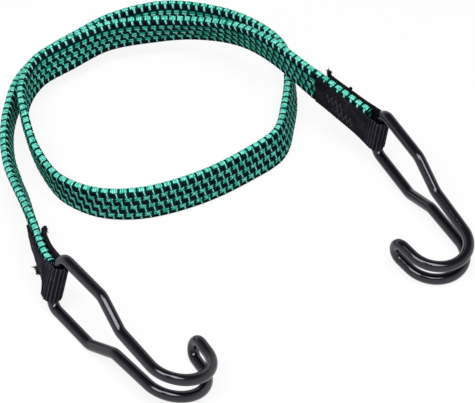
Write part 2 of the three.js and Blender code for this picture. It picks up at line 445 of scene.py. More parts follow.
# How far a leaning rounded rectangle reaches below its middle
def reachBelow(lean):
    tilt = np.radians(np.abs(lean))
    edge = band["edgeRadius"]
    tall, wide = band["width"] / 2 - edge, band["thickness"] / 2 - edge
    return tall * np.cos(tilt) + wide * np.sin(tilt) + edge


# Rows of place and lean: the straight stretch at the right bar, the lay, then the one at the left bar
def bandRows():
    def endRows(end):
        length = straightLength(end)
        near = end["bandToBar"]
        fromBar = np.array([near, (near + length) / 2, length, length + straightLead])
        places = np.array(end["bar"]) - end["outward"] * fromBar[:, None] * travelOf(end)
        return np.column_stack([places, end["lean"] + end["twist"] * fromBar / length])

    lay = bandLay.copy()
    lay[:, 2] += reachBelow(lay[:, 3])
    return np.vstack([endRows(bandEnds["right"]), lay, endRows(bandEnds["left"])[::-1]])


# Cubic through the knots at t, counted in knots: each span's end slopes are those of the parabolas through
# its neighbours, weighted by the spans
def throughKnots(knots, spans, t):
    knots = np.vstack([2 * knots[0] - knots[1], knots, 2 * knots[-1] - knots[-2]])
    k = np.minimum(t.astype(int), len(knots) - 4)
    w = (t - k)[:, None]
    a, b, c, d = (knots[k + n] for n in range(4))
    da, db, dc = (spans[k + n][:, None] for n in range(3))
    leave = ((b - a) / da - (c - a) / (da + db) + (c - b) / db) * db
    arrive = ((c - b) / db - (d - b) / (db + dc) + (d - c) / dc) * db
    square, cube = -3 * b + 3 * c - 2 * leave - arrive, 2 * b - 2 * c + leave + arrive
    return b + leave * w + square * w**2 + cube * w**3


# Places, axes and lengths along the band at even steps: across runs from the lower edge to the upper one,
# face is square to the band's inner face
def bandLine(steps):
    rows = bandRows()
    knots = rows[:, :3]
    gaps = np.diff(np.vstack([2 * knots[0] - knots[1], knots, 2 * knots[-1] - knots[-2]]), axis=0)
    spans = np.sqrt(np.linalg.norm(gaps, axis=1))
    fine = np.linspace(0, len(rows) - 1, knotSteps * len(rows))
    places = throughKnots(knots, spans, fine)
    run = np.concatenate([[0], np.cumsum(np.linalg.norm(np.diff(places, axis=0), axis=1))])
    length = np.linspace(0, run[-1], steps + 1)
    t = np.interp(length, run, fine)
    places = throughKnots(knots, spans, t)
    lean = throughKnots(rows[:, 3:], np.ones(len(spans)), t)
    for end in bandEnds.values():
        fromBar = end["bandToBar"] + (run[-1] - length if end["outward"] > 0 else length)
        even = np.clip(fromBar / straightLength(end), 0, 1)
        lean[:, 0] += end["twist"] * (twistShare(end, fromBar) - even)
        places += bowLeft(fromBar)[:, None] * (np.array(end["bow"]) @ np.array(tabAxes(end)[1:]))
    places[:, 2:] = np.maximum(places[:, 2:], reachBelow(lean))
    along = unit(np.gradient(places, axis=0))
    side = unit(np.column_stack([along[:, 1], -along[:, 0], np.zeros(steps + 1)]))
    upright = np.cross(side, along)
    tilt = np.radians(lean)
    across = side * np.sin(tilt) + upright * np.cos(tilt)
    return length, places, across, np.cross(across, along)


# The weave: rows counted from the upper edge, 0-1 and 8-9 the selvedge blocks, odd ones dark, even green

weave = {
    "pitch": 0.003938,  # one repeat along the band
    "phase": 0.237,  # of the first repeat
    "blockHalf": 0.365,  # half widths in repeats
    "lowerBlock": 0.2,  # the lower selvedge's shift in repeats
    "columns": (4, 4, 6, 4, 6, 4, 6, 4, 4),  # of the mesh, in each row
    "rowEnd": 9,  # row number at the lower edge
    "outerRows": 10,  # added to the row numbers on the outer face
    "inner": {
        "rows": (1.25, 3.55, 2.7, 1.5, 2.8, 1.2, 2.2, 3.75),  # heights in mm, the last row takes the rest
        "brick": 0.45,
        "pin": -0.137,
        "step": 0.46,
        "slant": -0.12,
        "brickHalf": 0.365,
        "taper": 0.04,  # a brick's loss of half width from top to bottom
        "waist": 0.0,  # and at its middle
        "firstPin": 0.12,
        "pinHalf": 0.075,
    },
    "outer": {
        "rows": (1.75, 2.9, 2.25, 2.5, 2.25, 2.5, 2.25, 2.55),
        "brick": 0.557,
        "pin": 0.322,
        "step": 0.54,
        "slant": 0.16,
        "brickHalf": 0.40,
        "taper": 0.0,
        "waist": 0.13,
        "firstPin": 0.075,
        "pinHalf": 0.068,
    },
    "blockRise": 0.00030,
    "brickRise": 0.00022,
    "pinRise": 0.00020,
    "floatRise": 0.00010,
    "filaments": 4.8,  # in one repeat
    "lanes": 2,  # of filaments along a brick of the inner face
    "sealedAndShaded": (0.02, 0.22),  # repeats from a cut where its dark end fades: partly a heat seal, partly painted shade where the ends lie under the hooks
    "blur": 0.035,  # of a block's or brick's edges, in repeats
    "pinBlur": 0.03,
    "endBlur": 0.05,  # of a filament's ends, in rows
    "ragged": 0.16,  # how far these may fall short
    "lessRagged": 0.1,  # for filaments along the band
    "uneven": 0.07,  # the most that one of these takes off a brick's half width
    "firstPinEnd": (0.66, 0.06),  # place and blur in the first dark row of the inner face
    "topShade": 0.3,  # painted shade on the outer face's blocks, at the upper edge
    "blockRagged": 0.22,
    "navy": (0.18, 0.34),  # repeats from a pin where the floats begin
    "navyRow": (0.04, 0.28),  # and rows from a row's edges, which are left to the painted shade of the ground
    "oblique": 1.5,  # filaments that one on the outer face's bricks passes
    "patches": 1.7,
    # painted light on the yarns: strand makes each filament lighter along its middle, lane darkens each inner
    # brick's upper streak and lightens its lower one, corner paints highlights on the outer bricks' corners
    # and block lights the selvedge blocks; chance and patches are random tone
    "light": {
        "strand": 0.8,
        "chance": 0.5,
        "patches": 0.25,
        "lane": 0.4,
        "corner": 0.5,
        "block": 0.12,
        "less": 0.25,
    },
    "pillows": {"block": 0.41, "brick": 0.40, "pin": 0.15, "float": 0.36},  # half widths of the relief
    # the yarn shades run from painted shade to painted light, the brightest one and the pins' one are painted
    # highlights, and the ground is painted shade in the gaps; the cloth shades are the floats' own tone
    "shades": {
        "yarnDark": (0, 100, 82),
        "yarnMid": (62, 226, 194),
        "yarnPaintedHighlight": (160, 255, 240),
        "pin": (160, 255, 242),
        "clothDark": (2, 12, 18),
        "clothLight": (34, 28, 48),
        "shadedGround": (0, 54, 47),
    },
}


# Half of a rounded rectangle's outline by the length walked from the middle of its upper edge: offsets
# square to the face and across, the outward normal and half the way round
def outlineAt(walk, width, thickness, edge):
    top, arc = thickness / 2 - edge, edge * np.pi / 2
    half = 2 * (top + arc) + width - 2 * edge
    low = walk > half / 2
    q = np.where(low, half - walk, walk)
    turn = np.clip((q - top) / edge, 0, np.pi / 2)
    out = np.minimum(q, top) + edge * np.sin(turn)
    up = width / 2 - edge + edge * np.cos(turn) - np.maximum(q - top - arc, 0)
    sign = np.where(low, -1, 1)
    return out, up * sign, np.sin(turn), np.cos(turn) * sign, half


# Columns of the band's section, up the inner face and down the outer one: row numbers, which face, offsets
# and normals of the cover and offsets of the bore
def bandSection():
    counts = weave["columns"]
    rows = np.concatenate([k + np.arange(n) / n for k, n in enumerate(counts)] + [[weave["rowEnd"]]])
    size = band["coverWidth"], band["coverThickness"], band["coverEdge"]
    bore = size[0] - 2 * band["wall"], size[1] - 2 * band["wall"], size[2] - band["wall"]
    half = outlineAt(np.zeros(1), *size)[4]
    boreHalf = outlineAt(np.zeros(1), *bore)[4]
    parts = []
    for side in ("inner", "outer"):
        marks = np.concatenate([[0], np.cumsum(weave[side]["rows"]) * 0.001, [half]])
        walk = np.interp(rows, np.arange(weave["rowEnd"] + 1), marks)
        out, up, normalOut, normalUp, _ = outlineAt(walk, *size)
        boreOut, boreUp = outlineAt(walk / half * boreHalf, *bore)[:2]
        sign = 1 if side == "inner" else -1
        parts.append(np.stack([
            rows, np.full(len(rows), sign < 0), sign * out, up,
            sign * normalOut, normalUp, sign * boreOut, boreUp,
        ]))
    ring = np.concatenate([parts[0][:, ::-1], parts[1][:, 1:-1]], axis=1)
    return ring, rows


# Height of the yarns over the cloth: pillows 1 - x^4 wide and 1 - y^4 high for selvedge blocks, bricks and
# the dark floats, and 1 - x^4 wide for the pins between the floats
def weaveHeight(u, row, outer):
    def pick(key):
        return np.where(outer > 0, weave["outer"][key], weave["inner"][key])

    def fromWhole(x):
        return np.abs(x - np.round(x))

    def pillow(x):
        return np.clip(1 - x**4, 0, 1)

    rowEnd = weave["rowEnd"]
    number = np.clip(np.floor(row), 0, rowEnd - 1)
    part = row - number
    order = np.floor((number - 1) / 2)
    shift = pick("step") * order
    fromBrick = fromWhole(u - pick("brick") - shift)
    fromPin = fromWhole(u - pick("pin") - shift - pick("slant") * (part - 0.5))
    fromBlock = fromWhole(u - weave["lowerBlock"] * (row > rowEnd / 2))
    middle = pillow(2 * part - 1)
    over = pillow(np.where(row > rowEnd / 2, rowEnd - row, row))
    isBlock = (row < 1) | (row > rowEnd - 1)
    isGreen = ~isBlock & (number % 2 == 0)
    half = weave["pillows"]
    block = weave["blockRise"] * pillow(fromBlock / half["block"]) * over
    brick = weave["brickRise"] * pillow(fromBrick / half["brick"]) * middle
    pin = weave["pinRise"] * pillow(fromPin / half["pin"])
    loose = weave["floatRise"] * pillow((0.5 - fromPin) / half["float"]) * middle
    return np.where(isBlock, block, np.where(isGreen, brick, np.maximum(pin, loose)))


# Colour of the woven jacket by its own map: u counts repeats along the band, v counts rows, with 10 added
# on the outer face. Each block, brick and pin is a row of filaments, each with its own random tone and ends;
# light and shade on them, their highlights and the shadow in the gaps between them are painted
def wovenFinish():
    finish, start, wear = newFinish("woven_jacket", Specular_IOR_Level=0.005)
    spot = start.make("UVMap", {}, uv_map="weave")
    u = start.make("SeparateXYZ", {0: spot})
    v = u.other("Y")
    inner, outer = weave["inner"], weave["outer"]
    shades = {name: paint(*colour) for name, colour in weave["shades"].items()}
    isOuter = v > weave["outerRows"] - 0.5

    def pick(key):
        return isOuter * (outer[key] - inner[key]) + inner[key]

    row = v - isOuter * weave["outerRows"]
    number = row.floor()
    part = row - number
    order = ((number - 1) * 0.5).floor()
    isFirst = order < 0.5
    shift = pick("step") * order
    isBlock = (row < 1) + (row > weave["rowEnd"] - 1)
    isGreen = (1 - isBlock) * ((number * 0.5).fract() < 0.25)
    isDark = 1 - isBlock - isGreen
    lengthwise = isGreen * (1 - isOuter)  # the inner face's bricks, whose filaments run along the band
    thread = u * weave["filaments"]
    lane = part * weave["lanes"]
    brickPlace = u - pick("brick") - shift
    count = (brickPlace + 0.5).floor()
    # each filament draws its own chance, by uneven multiples of its numbers
    own = thread.floor() + lengthwise * (lane.floor() * 5.1 + count * 2.3 - thread.floor())
    chance = start.make("TexWhiteNoise", {"W": own * 1.37 + v.floor() * 17.3}, noise_dimensions="1D")
    chanceBelow = (chance * 7.13).fract()
    fromBrick = brickPlace.fromWhole()
    fromPin = (u - pick("pin") - shift - pick("slant") * (part - 0.5)).fromWhole()
    fromBlock = (u - (row > weave["rowEnd"] / 2) * weave["lowerBlock"]).fromWhole()
    waist = 1 - abs(part * 2 - 1)
    halfBrick = pick("brickHalf") - waist * pick("waist") - part * pick("taper")
    halfBrick = halfBrick - lengthwise * chance * weave["uneven"]
    ragged = weave["ragged"] - lengthwise * weave["lessRagged"]
    upperEnd = (part - chance * ragged).edge(weave["endBlur"])
    lowerEnd = (1 - part - chanceBelow * ragged).edge(weave["endBlur"])
    brick = (halfBrick - fromBrick).edge(weave["blur"]) * upperEnd * lowerEnd
    halfPin = pick("pinHalf") + isFirst * (pick("firstPin") - pick("pinHalf"))
    pinEnd, pinEndBlur = weave["firstPinEnd"]
    cutShort = (1 - isOuter) * isFirst * (1 - (pinEnd - part).edge(pinEndBlur))
    pin = (halfPin - fromPin).edge(weave["pinBlur"]) * (1 - cutShort)
    # painted shade: the outer face's blocks darken towards the upper edge, where the rounded edge turns away
    # from the light
    crest = 1 - isOuter * weave["topShade"] * (1 - row.soft(0.05, 0.3))
    blockEnd = (row > 1) + (row < 1) * (1 - row - chanceBelow * weave["blockRagged"]).soft(-0.03, 0.1)
    block = (weave["blockHalf"] - fromBlock).edge(weave["blur"]) * crest * blockEnd
    fromCut = u.sum("MINIMUM", u - weave["phase"], weave["phase"] + wholeLength / weave["pitch"] - u)
    # the green fades to the dark ground at each cut: partly the heat seal, partly painted shade under the
    # hooks
    green = (isBlock * block + isGreen * brick + isDark * pin) * fromCut.soft(*weave["sealedAndShaded"])
    inRow = part.soft(*weave["navyRow"]) * (1 - part).soft(*weave["navyRow"])
    navy = isDark * fromPin.soft(*weave["navy"]) * inRow
    # each filament's round profile, painted lighter along its middle and darker at its sides; it also shapes
    # the bump
    across = (thread.fract() * np.pi).sine()
    oblique = abs(((thread + part * weave["oblique"]) * np.pi).sine())
    along = abs((lane * np.pi).sine())
    strand = lengthwise * along + isGreen * isOuter * oblique + (1 - isGreen) * across
    stretched = start.make("VectorMath", {0: spot, 1: (1.3, 1.0, 1.0)}, operation="MULTIPLY")
    patches = noiseAt(start, stretched, weave["patches"])
    # painted highlight at the corners of the outer face's bricks
    corner = isGreen * isOuter * (1 - waist) * fromBrick.soft(0.1, 0.35)
    light = weave["light"]
    # random tone by chance and patches; the lanes add painted shade to each inner brick's upper half and
    # painted light to its lower half
    shade = chance * light["chance"] + patches.soft(0.3, 0.7) * light["patches"]
    shade = shade + lengthwise * (lane.floor() - 0.5) * light["lane"]
    # painted light from the filament profiles, brick corners and selvedge blocks, over the random tone
    bright = strand * light["strand"] + shade + corner * light["corner"]
    bright = bright + isBlock * light["block"] - light["less"]
    yarn = mixColours(bright, shades["yarnDark"], shades["yarnMid"])
    # painted highlight: the brightest parts of the yarns turn whitish
    yarn = mixColours(bright.soft(0.55, 1.15), yarn, shades["yarnPaintedHighlight"])
    # painted highlight: the pins are mixed towards a near-white teal, less of it towards the bottom of their
    # row on the outer face
    yarn = mixColours(isDark * (0.95 - isOuter * part * 0.5), yarn, shades["pin"])
    cloth = mixColours(chance, shades["clothDark"], shades["clothLight"])
    # painted shade: the dark green ground stands in for the shadow in the gaps between the yarns, with the
    # navy floats in the middle of the dark rows
    shadedGround = mixColours(navy, shades["shadedGround"], cloth)
    wear("Base Color", mixColours(green, shadedGround, yarn))
    wear("Roughness", 0.62 - green * 0.16 + patches * 0.06)
    wear("Normal", bumpFrom(green * (strand * 0.5 + 0.5) + navy * (strand * 0.2 + 0.2), 0.4, 0.00015))
    return finish


bandLength, bandPlaces, bandAcross, bandFace = bandLine(band["steps"])
bandRing, bandRowNumbers = bandSection()
wholeLength = float(bandLength[-1])
print("band route:", round(wholeLength, 4), "m")


bakeLayout = {  # in shares of the baked picture
    "stripsTall": 0.96,  # height of the cover's strips together
    "inStrip": (0.03, 0.94),  # lower edge and height of the cover in its strip
    "bore": (0.9, 0.965, 0.02),  # width, lower edge and height of the bore's strip
    "rims": ((0.93, 0.95), (0.96, 0.98)),  # left and right edges
}


# A section carried along the band: each ring's place, plus the offsets square to its face and across it
def carryAlong(rings, out, up):
    place, face, across = (a[rings][:, None] for a in (bandPlaces, bandFace, bandAcross))
    return place + out[..., None] * face + up[..., None] * across


# One stretch of the jacket: a hollow tube from ring to ring, its outside raised by the weave's height
def jacketStretch(name, first, last, strips, material):
    row, isOuter, out, up, normalOut, normalUp, boreOut, boreUp = bandRing
    sides = len(row)
    rings = np.arange(first, last + 1)
    boreRings = np.unique(np.append(np.arange(first, last, band["boreStride"]), last))
    u = bandLength / weave["pitch"] + weave["phase"]
    rise = weaveHeight(u[rings][:, None], row[None], isOuter[None])
    cover = carryAlong(rings, out + rise * normalOut, up + rise * normalUp)
    points, quads, rims = hollowTube(cover, carryAlong(boreRings, boreOut, boreUp))

    def wholeMap(onCover, inBore, firstRim, lastRim):
        return np.concatenate([
            cornerMap(*onCover),
            cornerMap(*inBore)[:, ::-1],
            cornerMap(*firstRim)[:, ::-1],
            cornerMap(*lastRim),
        ])

    # the weave's map: repeats along the band, and rows up the inner face and down the outer one
    upInner, downOuter = bandRowNumbers[::-1], bandRowNumbers + weave["outerRows"]
    rows = [
        np.concatenate([upInner[:-1], downOuter[:-1]])[None],
        np.concatenate([upInner[1:], downOuter[1:]])[None],
    ]
    coverU, boreU = u[rings][:, None], u[boreRings][:, None]
    pattern = wholeMap(
        (coverU[:-1], coverU[1:], *rows), (boreU[:-1], boreU[1:], *rows),
        (coverU[:1], coverU[:1], *rows), (coverU[-1:], coverU[-1:], *rows),
    )
    # a bake layout of a few strips one above the other, with the bore and the rims on top
    low, high = bakeLayout["inStrip"]
    levels = [(np.arange(n, sides + n) / sides * high + low)[None] for n in (0, 1)]
    perStrip = int(np.ceil((len(rings) - 1) / strips))
    strip, i = np.divmod(np.arange(len(rings) - 1)[:, None], perStrip)
    coverLevels = [(strip + level) * bakeLayout["stripsTall"] / strips for level in levels]
    boreWide, boreLow, boreTall = bakeLayout["bore"]
    boreLeft = np.arange(len(boreRings) - 1)[:, None] / len(boreRings) * boreWide + bakeMargin
    boreLevels = [boreLow + boreTall * level for level in levels]
    layout = wholeMap(
        (inMargins(i / perStrip), inMargins((i + 1) / perStrip), *coverLevels),
        (boreLeft, boreLeft + boreWide / len(boreRings), *boreLevels),
        *((*rim, *boreLevels) for rim in bakeLayout["rims"]),
    )
    maps = {"weave": pattern, "OFBake": layout}
    return addPiece(name, points, quads, material, maps=maps, flatFaces=rims)


rubber = {
    "strands": 5,
    "pitch": 0.0033,
    "width": 0.0028,
    "thickness": 0.0017,
    "corner": 0.0005,
    "cornerPoints": 3,
    "stride": 6,  # band rings for each ring of a strand
    "inside": 3,  # band rings between the jacket's cut and the strands' ends
    "grain": {
        "scale": 900,
        "detail": 4,
        "shades": ((206, 200, 186), (228, 224, 214)),
        "rough": (0.2, 0.7),
        "bump": (0.2, 0.0002),
        "softened": (0.3, 0.7),
    },
}


# A rounded rectangle's outline, counter-clockwise from the right: each corner's middle plus its radius along
# the turn
def roundedRectangle(wide, tall, corner, count):
    turn = np.concatenate([q * np.pi / 2 + np.linspace(0, np.pi / 2, count) for q in range(4)])
    signX = np.repeat([1, -1, -1, 1], count)
    signY = np.repeat([1, 1, -1, -1], count)
    x = signX * (wide / 2 - corner) + corner * np.cos(turn)
    y = signY * (tall / 2 - corner) + corner * np.sin(turn)
    return x, y


# One strand of rubber: a rounded rectangle carried along the band beside its fellows
def rubberStretch(name, number, first, last, material):
    first = max(first, rubber["inside"])
    last = min(last, len(bandLength) - 1 - rubber["inside"])
    rings = np.unique(np.append(np.arange(first, last, rubber["stride"]), last))
    x, y = roundedRectangle(rubber["thickness"], rubber["width"], rubber["corner"], rubber["cornerPoints"])
    y = y + (number - (rubber["strands"] - 1) / 2) * rubber["pitch"]
    points, quads, triangles = solidTube(carryAlong(rings, x, y))
    flat = np.arange(len(quads), len(quads) + len(triangles))
    return addPiece(name, points, quads, material, triangles=triangles, flatFaces=flat)


jacketCloth = wovenFinish()
latex = grainFinish("rubber", **rubber["grain"])
ringRight = int(np.searchsorted(bandLength, band["endRun"]))
ringLeft = int(np.searchsorted(bandLength, wholeLength - band["endRun"]))
stretches = {
    "right_run": (0, ringRight, 2, "right_end"),
    "middle": (ringRight, ringLeft, 4, None),
    "left_run": (ringLeft, len(bandLength) - 1, 2, "left_end"),
}
# lengths along the band where the stretching starts and where the tab holds it
blendEnds = {
    "right_run": (0.115, 0.034),
    "left_run": (wholeLength - 0.115, wholeLength - 0.032),
}


# The band's middle at a length along it, in straight lines between its rings
def placeAt(length):
    return tuple(float(np.interp(length, bandLength, bandPlaces[:, axis])) for axis in range(3))


for part, (first, last, strips, endBody) in stretches.items():
    jacket = jacketStretch("band_" + part, first, last, strips, jacketCloth)
    strands = [
        rubberStretch(f"rubber_strand_{n + 1}_{part}", n, first, last, latex)
        for n in range(rubber["strands"])
    ]
    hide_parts("band_jacket")
    for n, strand in enumerate(strands):
        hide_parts(f"rubber_strand_{n + 1}")
    for piece in [jacket, *strands]:
        if endBody:
            start, end = (placeAt(length) for length in blendEnds[part])
            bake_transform(piece)
        else:
            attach(piece, "band")
    float(bandLength[last] - bandLength[first])
    bandPlaces[first : last + 1 : 2].tolist() + [bandPlaces[last].tolist()]
    print("band", part, round(float(bandLength[last] - bandLength[first]), 4), "m")


# Hooks: one doubled wire each

hook = {
    "wireRadius": 0.00175,
    "sleeveBore": 0.0018,
    "sleeveRadius": 0.0025,
    "wireEndGap": 0.001,
    "barSpan": 0.026,
    "window": 0.029,
    "taper": 0.0153,
    "neck": 0.0116,
    "shank": 0.0218,
    "jaw": 0.009,
    "jawRadius": 0.014,
    "jawTurn": 171.0,
    "tip": 0.0055,
    "corner": 0.005,
    "bend": 0.008,
    "step": 0.0008,
    "leastSteps": (2, 4),  # of a straight stretch and of an arc
    "tipSteps": 10,
    "sides": 28,
    "steelGrain": {
        "scale": 2500,
        "detail": 2,
        "shades": ((150, 152, 155), (196, 197, 199)),
        "rough": (0.2, 0.25),
    },
    "vinyl": {
        "skin": 160,
        "specks": 1500,
        "shades": ((3, 2, 10), (7, 6, 16)),
        "softened": (0.35, 0.65),
        "rough": (0.08, 0.03, 0.1),  # by the skin, by the specks, and the least
        "bump": (0.1, 0.0006),
    },
}


# Straight and round stretches joined, from the bar to the tip and mirrored back: each corner is an arc of its
# radius, tangent to both sides, the jaw is an arc square to these, and the tip is a half turn
def hookOutline():
    h = hook
    jawStart = h["window"] + h["taper"] + h["shank"]
    turnRadius = h["jaw"] / 2
    knees = np.array([
        (0, h["wireEndGap"] / 2), (0, h["barSpan"] / 2), (h["window"], h["barSpan"] / 2),
        (h["window"] + h["taper"], h["neck"] / 2), (jawStart, turnRadius),
    ])
    places, normals = [], []

    def add(points, x, y):
        places.append(points)
        normals.append(np.stack(np.broadcast_arrays(x, y, np.zeros(len(points))), -1))

    def straight(start, end):
        count = max(h["leastSteps"][0], int(np.linalg.norm(end - start) / h["step"]))
        return start + np.linspace(0, 1, count, endpoint=False)[:, None] * (end - start)

    def flat(points):
        return np.column_stack([points[:, 0], np.zeros(len(points)), points[:, 1]])

    here = knees[0]
    radii = (h["corner"], h["bend"], h["bend"])
    for before, knee, after, radius in zip(knees, knees[1:], knees[2:], radii):
        arriving, leaving = unit(knee - before), unit(after - knee)
        turn = np.arccos(np.clip(arriving @ leaving, -1, 1))
        arcStart = knee - arriving * radius * np.tan(turn / 2)
        inward = unit(leaving - arriving * (leaving @ arriving))
        count = max(h["leastSteps"][1], int(radius * turn / h["step"]))
        angle = np.linspace(0, turn, count, endpoint=False)[:, None]
        arc = arcStart + arriving * radius * np.sin(angle) + inward * radius * (1 - np.cos(angle))
        add(flat(straight(here, arcStart)), 0, 1)
        add(flat(arc), 0, 1)
        here = arcStart + arriving * radius * np.sin(turn) + inward * radius * (1 - np.cos(turn))
    add(flat(straight(here, knees[-1])), 0, 1)
    radius, jawTurn = h["jawRadius"], np.radians(h["jawTurn"])

    def inJaw(angle):
        return np.column_stack([jawStart + radius * np.sin(angle), radius * (1 - np.cos(angle))])

    angle = np.linspace(0, jawTurn, int(jawTurn * radius / h["step"]), endpoint=False)
    add(np.column_stack([inJaw(angle), np.full(len(angle), turnRadius)]), -np.sin(angle), np.cos(angle))
    way, square = (np.cos(jawTurn), np.sin(jawTurn)), (-np.sin(jawTurn), np.cos(jawTurn))
    reach = np.linspace(0, h["tip"], int(h["tip"] / h["step"]), endpoint=False)
    bend = np.linspace(0, np.pi / 2, h["tipSteps"], endpoint=False)
    past = np.concatenate([reach, h["tip"] + turnRadius * np.sin(bend), [h["tip"] + turnRadius]])
    height = np.concatenate([np.full(len(reach), turnRadius), turnRadius * np.cos(bend), [0]])
    tip = np.column_stack([inJaw(jawTurn) + past[:, None] * np.array(way), height])
    add(tip[:-1], *square)
    upper, upperNormals = np.vstack(places), np.vstack(normals)
    mirror = np.array([1, 1, -1])
    line = np.vstack([upper, tip[-1:], upper[::-1] * mirror])
    return line, np.vstack([upperNormals, [[*square, 0]], upperNormals[::-1]])


# The hook's outline turned about its bar and set in the tab's axes
def hookLine(side):
    end = bandEnds[side]
    line, normal = (a * np.array([1, end["curl"], 1]) for a in hookOutline())
    swing = np.radians(end["swing"])
    spin = np.array([[np.cos(swing), -np.sin(swing), 0], [np.sin(swing), np.cos(swing), 0], [0, 0, 1]])
    axes = np.array(tabAxes(end))
    line = line @ spin.T @ axes + np.array(end["bar"])
    normal = normal @ spin.T @ axes
    along = unit(np.gradient(line, axis=0))
    normal = squareTo(along, normal)
    return line, normal, np.cross(along, normal)


# Two near blacks by a slow noise, a gloss that varies with it and with fine specks
def vinylFinish():
    look = hook["vinyl"]
    finish, start, wear = newFinish("black_vinyl", Specular_IOR_Level=0.65, Specular_Tint=(0.92, 0.9, 1, 1))
    spot = start.make("TexCoord", {}, output="Object")
    skin = noiseAt(start, spot, look["skin"])
    specks = noiseAt(start, spot, look["specks"])
    bySkin, bySpecks, least = look["rough"]
    wear("Base Color", mixShades(skin.soft(*look["softened"]), look["shades"]))
    wear("Roughness", skin * bySkin + specks * bySpecks + least)
    wear("Normal", bumpFrom(skin, *look["bump"]))
    return finish


vinyl = vinylFinish()
steel = grainFinish("steel_wire", **hook["steelGrain"], Metallic=1.0)
for side in bandEnds:
    line, axisX, axisY = hookLine(side)
    spokes = spokesRound(axisX, axisY, hook["sides"])
    core, bore, outside = (
        line[:, None] + hook[key] * spokes for key in ("wireRadius", "sleeveBore", "sleeveRadius")
    )
    points, quads, triangles = solidTube(core)
    wire = addPiece(side + "_wire", points, quads, steel, triangles=triangles)
    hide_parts(side + "_hook_wire")
    points, quads, rims = hollowTube(outside, bore)
    sleeve = addPiece(side + "_sleeve", points, quads, vinyl, flatFaces=rims)
    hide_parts(side + "_hook_coating")
    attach(wire, side + "_hook")
    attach(sleeve, side + "_hook")
print("hooks swept")


# Webbing tabs

tab = {
    "width": 0.018,
    "thickness": 0.0012,
    "tail": 0.0028,  # the tail's middle from the band's middle
    "fold": 0.0034,  # the fold's radius at its middle
    "ease": 0.012,
    "step": 0.00016,
    "columns": 34,
    "edge": 0.0006,
    "ribPitch": 0.0015,
    "foldRib": 0.00018,
    "tailRib": 0.00002,
    "loops": 0.00030,  # of the selvedge, at each rib
    "loopRange": (0.3, 1.3),  # of their sizes
    "loopLevel": 0.6,  # of the ridges, where the selvedge keeps its width
    "columnSpread": (0.4, 0.6),  # crowded at the edges, and even
    "edgeRound": 0.96,
    "farFold": 0.008,  # into the far tail, where its shift and width settle
    "flareRoom": 0.00015,  # before the wire's corner pushes the fold's edge out
    "flareFade": 0.006,
    "ribFade": (0.0008, 0.0035),  # from the bar, where the fold's ribs start to fade and how fast
    "ribLevel": 1.4,
    "ragged": 0.00035,
    "notch": (0.2, 0.6, 1, 0.6, 0.2),  # smooths the ragged cut from column to column
    "cutReach": 0.010,  # from the cut, where its raggedness and slant start
    "liftReach": 0.007,
    "edgeWalk": 0.0001,  # of each column besides its width, in the map
}
# how the strip lies: its shift along the bar and half width at the near end, the fold and the far end, how
# much shorter the lower and upper corners of each cut are and how far it lifts off the band
tabLie = {
    "right": {
        "shift": (0.0014, -0.0012, 0.0),
        "half": (0.0076, 0.00875, 0.0088),
        "nearCut": (0.0, -0.0005),
        "farCut": (0.0, 0.0),
        "lift": (0.0002, 0.0004),
        "seed": 7,
    },
    "left": {
        "shift": (0.0012, -0.0012, 0.0014),
        "half": (0.0083, 0.00875, 0.0086),
        "nearCut": (-0.0010, 0.0020),
        "farCut": (0.0016, 0.0052),
        "lift": (0.0002, -0.0003),
        "seed": 11,
    },
}


# Turns places about the tab's middle line as the band between its tails is twisted, bows them with the
# band, eased in past the bar, then sets them in the tab's axes
def setInTab(end, places):
    gained = end["outward"] * np.radians(end["twist"]) * twistShare(end, -places[..., 0])
    y = places[..., 1] * np.cos(gained) - places[..., 2] * np.sin(gained)
    z = places[..., 1] * np.sin(gained) + places[..., 2] * np.cos(gained)
    y = y + end["bow"][0] * eased(-places[..., 0] / bowEase) * bowLeft(-places[..., 0])
    return np.stack([places[..., 0], y, z], -1) @ np.array(tabAxes(end)) + np.array(end["bar"])


# The strip's middle line seen along the bar: near tail, half turn round the bar, far tail
def tabLine(end):
    def tail(length):
        x = np.arange(-length, 0, tab["step"])
        return x, tab["tail"] + (tab["fold"] - tab["tail"]) * eased((x + tab["ease"]) / tab["ease"])

    nearX, nearY = tail(end["nearTail"])
    farX, farY = tail(end["farTail"])
    turn = np.linspace(-np.pi / 2, np.pi / 2, int(np.pi * tab["fold"] / tab["step"]))
    x = np.concatenate([nearX, tab["fold"] * np.cos(turn), farX[::-1]])
    y = np.concatenate([-nearY, tab["fold"] * np.sin(turn), farY[::-1]])
    return x, y


